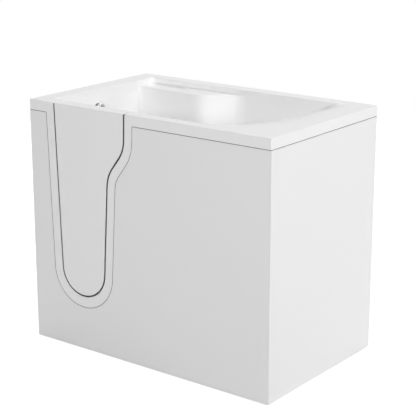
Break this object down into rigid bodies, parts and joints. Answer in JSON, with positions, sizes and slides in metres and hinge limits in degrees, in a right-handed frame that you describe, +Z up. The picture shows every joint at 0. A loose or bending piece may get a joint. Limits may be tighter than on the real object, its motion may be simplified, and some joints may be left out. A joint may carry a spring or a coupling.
{
  "type": "sit-in bathtub",
  "caption": "Sit-in bathtub with deck, seat, footwell, boot-shaped door in the front, two panels, steel frame, waste and overflow.",
  "frame": {"origin": "middle of the footprint, on the floor under the foot pads", "axes": "+X along the length away from the door, +Y to the back, +Z up; the front with the door is at -Y"},
  "size_m": [1.05, 0.65, 0.905],
  "materials": {
    "acrylic": "gloss white acrylic",
    "panel": "satin white acrylic",
    "rubber": "matt grey",
    "foam": "hard foam",
    "zinc": "zinc plated",
    "chrome": "polished",
    "pipe_plastic": "moulded",
    "black_plastic": "moulded",
    "board": "raw chipboard"
  },
  "bodies": {
    "tub": {"tub_shell": "acrylic", "hinge_leaf_frame": "zinc", "hinge_pin": "chrome", "bolt_keepers": "zinc", "front_panel": "panel", "side_panel": "panel", "panel_brackets": "zinc", "base_frame": "zinc", "top_frame": "zinc", "seat_supports": "zinc", "floor_bearers": "zinc", "floor_board": "board", "seat_board": "board", "foot_studs": "zinc", "foot_nuts": "zinc", "foot_pads": "black_plastic", "waste_flange": "chrome", "waste_body": "pipe_plastic", "waste_trap": "pipe_plastic", "drain_pipe": "pipe_plastic", "trap_nuts": "pipe_plastic", "overflow_rosette": "chrome", "overflow_body": "pipe_plastic", "overflow_pipe": "pipe_plastic", "pull_cable": "black_plastic", "wall_brackets": "zinc"},
    "door": {"door_outer": "acrylic", "door_inner": "acrylic", "door_core": "foam", "door_seal": "rubber", "hinge_leaf_door": "zinc", "latch_rosette": "chrome", "bolt_guides": "pipe_plastic"},
    "door_handle": {"latch_handle": "chrome"},
    "bolt_upper": {"upper_bolt": "zinc"},
    "bolt_lower": {"lower_bolt": "zinc"},
    "overflow_knob": {"overflow_knob": "chrome"},
    "waste_plug": {"waste_plug": "chrome"}
  },
  "joints": [
    {"name": "door_swing", "type": "hinge", "parent": "tub", "child": "door", "pos_m": [-0.40816, -0.321, 0.905], "axis": [0.0352, 0, -0.9994], "range_deg": [0, 100]},
    {"name": "handle_turn", "type": "hinge", "parent": "door", "child": "door_handle", "pos_m": [-0.2192, -0.271, 0.8], "axis": [0, 1, 0], "range_deg": [0, 90]},
    {"name": "upper_bolt_slide", "type": "slide", "parent": "door", "child": "bolt_upper", "axis": [1, 0, 0], "range_m": [0, 0.018]},
    {"name": "lower_bolt_slide", "type": "slide", "parent": "door", "child": "bolt_lower", "axis": [1, 0, 0], "range_m": [0, 0.018]},
    {"name": "knob_turn", "type": "hinge", "parent": "tub", "child": "overflow_knob", "pos_m": [-0.441, -0.057, 0.834], "axis": [1, 0, 0], "range_deg": [0, 60]},
    {"name": "plug_lift", "type": "slide", "parent": "tub", "child": "waste_plug", "axis": [0, 0, 1], "range_m": [0, 0.008]}
  ],
  "couplings": [
    {"joint": "upper_bolt_slide", "follows": "handle_turn", "m_per_rad": 0.011459},
    {"joint": "lower_bolt_slide", "follows": "handle_turn", "m_per_rad": 0.011459},
    {"joint": "plug_lift", "follows": "knob_turn", "m_per_rad": 0.007639}
  ]
}
